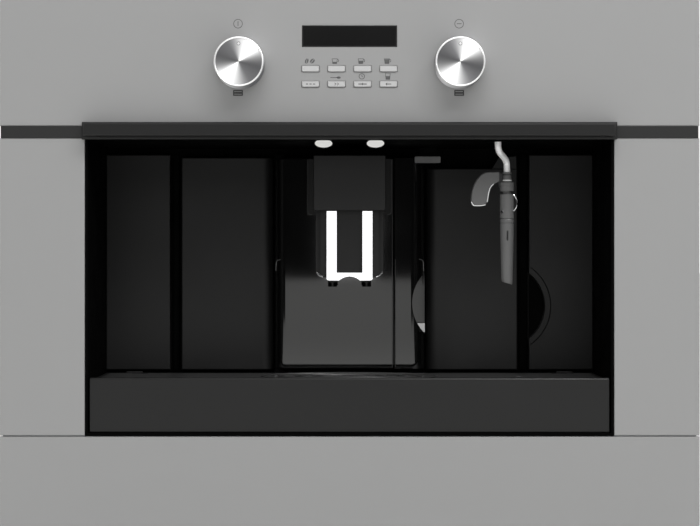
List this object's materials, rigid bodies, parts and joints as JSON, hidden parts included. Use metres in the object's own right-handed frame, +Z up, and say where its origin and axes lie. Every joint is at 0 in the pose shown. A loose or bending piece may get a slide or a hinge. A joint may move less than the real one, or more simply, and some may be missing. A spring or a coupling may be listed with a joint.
{
  "type": "built in coffee machine",
  "caption": "Compact built in bean-to-cup coffee machine with two knobs, push buttons, a spout, a steam wand, a water tank and a drip tray, on pull-out rails.",
  "frame": {"origin": "bottom centre of the whole machine's bounding box, at the level of the front's lower edge", "axes": "+X to the viewer's right along the front, +Y from the front to the back, +Z up"},
  "size_m": [0.595, 0.412, 0.455],
  "materials": {
    "front_grey_lacquer": "satin",
    "graphite_trim": "satin",
    "spun_metal": "brushed",
    "display_glass": "gloss",
    "button_silver": "satin",
    "black_moulding": "fine textured",
    "satin_black": "satin",
    "gloss_black": "high gloss",
    "chrome": "polished",
    "stainless": "brushed",
    "galvanised_sheet": "galvanised",
    "rail_steel": "zinc plated",
    "tank_plastic": "clear smoked",
    "tray_plastic": "satin moulded",
    "float_red": "gloss",
    "lamp_lens": "frosted",
    "hopper_plastic": "clear smoked",
    "grey_plastic": "moulded",
    "circuit_board": "solder resist",
    "cast_aluminium": "cast",
    "pump_steel": "plain",
    "silicone_hose": "matt",
    "inlet_black": "moulded",
    "screw_steel": "zinc plated"
  },
  "bodies": {
    "cabinet": {"cabinet_rails": "rail_steel"},
    "middle_members": {"middle_rails": "rail_steel"},
    "machine": {"machine_rails": "rail_steel", "chassis_base": "galvanised_sheet", "right_side_panel": "galvanised_sheet", "left_side_panel": "galvanised_sheet", "back_panel": "galvanised_sheet", "top_cover": "galvanised_sheet", "front_frame": "galvanised_sheet", "control_panel": "front_grey_lacquer", "column_panels": "front_grey_lacquer", "bottom_panel": "front_grey_lacquer", "trim_strip": "graphite_trim", "pull_handle": "graphite_trim", "display_window": "display_glass", "control_board": "circuit_board", "rotary_switches": "grey_plastic", "recess_liner": "black_moulding", "lamp_lenses": "lamp_lens", "left_outer_panel": "satin_black", "left_inner_panel": "satin_black", "right_outer_panel": "satin_black", "gap_strips": "black_moulding", "centre_trim": "gloss_black", "bean_hopper": "hopper_plastic", "grinder_body": "grey_plastic", "brew_frame": "grey_plastic", "thermoblock": "cast_aluminium", "pump": "pump_steel", "water_pipes": "silicone_hose", "mains_inlet": "inlet_black", "case_screws": "screw_steel"},
    "left_knob": {"left_knob": "spun_metal"},
    "right_knob": {"right_knob": "spun_metal"},
    "upper_button_1": {"upper_button_1": "button_silver"},
    "upper_button_2": {"upper_button_2": "button_silver"},
    "upper_button_3": {"upper_button_3": "button_silver"},
    "upper_button_4": {"upper_button_4": "button_silver"},
    "lower_button_1": {"lower_button_1": "button_silver"},
    "lower_button_2": {"lower_button_2": "button_silver"},
    "lower_button_3": {"lower_button_3": "button_silver"},
    "lower_button_4": {"lower_button_4": "button_silver"},
    "service_door": {"service_door": "gloss_black", "spout_cover": "black_moulding"},
    "coffee_spout": {"spout_slider": "black_moulding", "spout_face": "chrome"},
    "water_tank": {"water_tank": "tank_plastic", "tank_front": "satin_black"},
    "drip_tray": {"drip_tray": "tray_plastic"},
    "cup_grille": {"cup_grille": "stainless"},
    "tray_float": {"tray_float": "float_red"},
    "grounds_container": {"grounds_container": "tray_plastic"},
    "wand_turret": {"wand_yoke": "black_moulding"},
    "steam_wand": {"steam_pipe": "chrome", "wand_grip": "chrome"},
    "frother_sleeve": {"frother_sleeve": "stainless"},
    "hopper_lid": {"hopper_lid": "black_moulding"},
    "drive_screw": {"drive_screw": "screw_steel"},
    "brew_piston": {"brew_piston": "black_moulding"},
    "mains_switch": {"mains_switch": "inlet_black"}
  },
  "joints": [
    {"name": "machine_pull_out", "type": "slide", "parent": "cabinet", "child": "machine", "axis": [0, -1, 0], "range_m": [0, 0.35]},
    {"name": "middle_rails_slide", "type": "slide", "parent": "cabinet", "child": "middle_members", "axis": [0, -1, 0], "range_m": [0, 0.175]},
    {"name": "left_knob_turn", "type": "hinge", "parent": "machine", "child": "left_knob", "pos_m": [-0.0929, -0.181, 0.3964], "axis": [0, 1, 0], "range_deg": [-150, 150]},
    {"name": "right_knob_turn", "type": "hinge", "parent": "machine", "child": "right_knob", "pos_m": [0.0929, -0.181, 0.3964], "axis": [0, 1, 0], "range_deg": [-150, 150]},
    {"name": "upper_button_1_press", "type": "slide", "parent": "machine", "child": "upper_button_1", "axis": [0, 1, 0], "range_m": [0, 0.0012], "stiffness_N_per_m": 500},
    {"name": "upper_button_2_press", "type": "slide", "parent": "machine", "child": "upper_button_2", "axis": [0, 1, 0], "range_m": [0, 0.0012], "stiffness_N_per_m": 500},
    {"name": "upper_button_3_press", "type": "slide", "parent": "machine", "child": "upper_button_3", "axis": [0, 1, 0], "range_m": [0, 0.0012], "stiffness_N_per_m": 500},
    {"name": "upper_button_4_press", "type": "slide", "parent": "machine", "child": "upper_button_4", "axis": [0, 1, 0], "range_m": [0, 0.0012], "stiffness_N_per_m": 500},
    {"name": "lower_button_1_press", "type": "slide", "parent": "machine", "child": "lower_button_1", "axis": [0, 1, 0], "range_m": [0, 0.0012], "stiffness_N_per_m": 500},
    {"name": "lower_button_2_press", "type": "slide", "parent": "machine", "child": "lower_button_2", "axis": [0, 1, 0], "range_m": [0, 0.0012], "stiffness_N_per_m": 500},
    {"name": "lower_button_3_press", "type": "slide", "parent": "machine", "child": "lower_button_3", "axis": [0, 1, 0], "range_m": [0, 0.0012], "stiffness_N_per_m": 500},
    {"name": "lower_button_4_press", "type": "slide", "parent": "machine", "child": "lower_button_4", "axis": [0, 1, 0], "range_m": [0, 0.0012], "stiffness_N_per_m": 500},
    {"name": "service_door_swing", "type": "hinge", "parent": "machine", "child": "service_door", "pos_m": [-0.064, -0.0615, 0.22725], "axis": [0, 0, -1], "range_deg": [0, 90]},
    {"name": "spout_height", "type": "slide", "parent": "service_door", "child": "coffee_spout", "axis": [0, 0, 1], "range_m": [0, 0.035]},
    {"name": "water_tank_pull", "type": "slide", "parent": "machine", "child": "water_tank", "axis": [0, -1, 0], "range_m": [0, 0.058]},
    {"name": "drip_tray_pull", "type": "slide", "parent": "machine", "child": "drip_tray", "axis": [0, -1, 0], "range_m": [0, 0.17]},
    {"name": "cup_grille_lift", "type": "slide", "parent": "drip_tray", "child": "cup_grille", "axis": [0, 0, 1], "range_m": [0, 0.03]},
    {"name": "tray_float_rise", "type": "slide", "parent": "drip_tray", "child": "tray_float", "axis": [0, 0, 1], "range_m": [0, 0.008]},
    {"name": "grounds_container_lift", "type": "slide", "parent": "drip_tray", "child": "grounds_container", "axis": [0, 0, 1], "range_m": [0, 0.04]},
    {"name": "wand_swivel", "type": "hinge", "parent": "machine", "child": "wand_turret", "pos_m": [0.1277, -0.161, 0.338], "axis": [0, 0, 1], "range_deg": [-60, 60]},
    {"name": "wand_tilt", "type": "hinge", "parent": "wand_turret", "child": "steam_wand", "pos_m": [0.1277, -0.161, 0.338], "axis": [-1, 0, 0], "range_deg": [0, 35]},
    {"name": "frother_sleeve_pull", "type": "slide", "parent": "steam_wand", "child": "frother_sleeve", "axis": [0, 0, -1], "range_m": [0, 0.04]},
    {"name": "hopper_lid_lift", "type": "hinge", "parent": "machine", "child": "hopper_lid", "pos_m": [-0.105, 0.11, 0.4473], "axis": [-1, 0, 0], "range_deg": [0, 95]},
    {"name": "drive_screw_turn", "type": "hinge", "parent": "machine", "child": "drive_screw", "pos_m": [-0.01, 0.045, 0.258], "axis": [0, 0, -1], "range_deg": [0, 1575]},
    {"name": "brew_piston_rise", "type": "slide", "parent": "machine", "child": "brew_piston", "axis": [0, 0, 1], "range_m": [0, 0.035]},
    {"name": "mains_switch_rock", "type": "hinge", "parent": "machine", "child": "mains_switch", "pos_m": [0.14, 0.2028, 0.062], "axis": [1, 0, 0], "range_deg": [0, 18]}
  ],
  "couplings": [
    {"joint": "middle_rails_slide", "follows": "machine_pull_out", "ratio": 0.5},
    {"joint": "brew_piston_rise", "follows": "drive_screw_turn", "m_per_rad": 0.001273}
  ]
}
